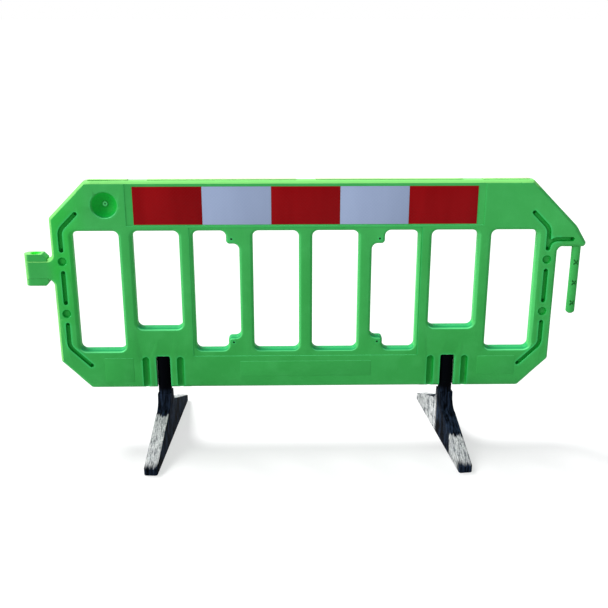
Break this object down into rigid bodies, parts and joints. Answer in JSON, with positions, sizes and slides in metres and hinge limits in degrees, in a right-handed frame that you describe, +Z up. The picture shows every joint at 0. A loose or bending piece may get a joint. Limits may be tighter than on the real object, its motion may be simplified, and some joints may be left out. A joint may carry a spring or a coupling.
{
  "type": "pedestrian barrier panel",
  "caption": "Linkable moulded plastic barrier panel with tall openings and a reflective top strip, standing on swivel feet.",
  "frame": {"origin": "on the ground, midway along the panel and midway through its thickness", "axes": "+X along the panel towards the link pin, +Y through the panel away from the front, +Z up"},
  "size_m": [2.074, 0.6506, 1.024],
  "materials": {
    "green_plastic": "moulded, fine grain, slight sheen",
    "red_sheet": "retroreflective film",
    "white_sheet": "retroreflective film",
    "black_rubber": "recycled rubber, dusty",
    "zinc_steel": "zinc plated"
  },
  "bodies": {
    "panel": {"panel": "green_plastic", "link_pin": "green_plastic", "front_sheet_1": "red_sheet", "front_sheet_2": "white_sheet", "front_sheet_3": "red_sheet", "front_sheet_4": "white_sheet", "front_sheet_5": "red_sheet", "rear_sheet_1": "red_sheet", "rear_sheet_2": "white_sheet", "rear_sheet_3": "red_sheet", "rear_sheet_4": "white_sheet", "rear_sheet_5": "red_sheet", "left_pivot_bolt": "zinc_steel", "right_pivot_bolt": "zinc_steel", "left_head_washer": "zinc_steel", "right_head_washer": "zinc_steel", "left_thrust_washer": "zinc_steel", "right_thrust_washer": "zinc_steel", "left_insert": "zinc_steel", "right_insert": "zinc_steel"},
    "left_foot": {"left_foot": "black_rubber"},
    "right_foot": {"right_foot": "black_rubber"}
  },
  "joints": [
    {"name": "left_foot_swivel", "type": "hinge", "parent": "panel", "child": "left_foot", "pos_m": [-0.545, 0, 0.2], "axis": [0, 0, 1], "range_deg": [-86, 94]},
    {"name": "right_foot_swivel", "type": "hinge", "parent": "panel", "child": "right_foot", "pos_m": [0.545, 0, 0.2], "axis": [0, 0, 1], "range_deg": [-96, 84]}
  ]
}
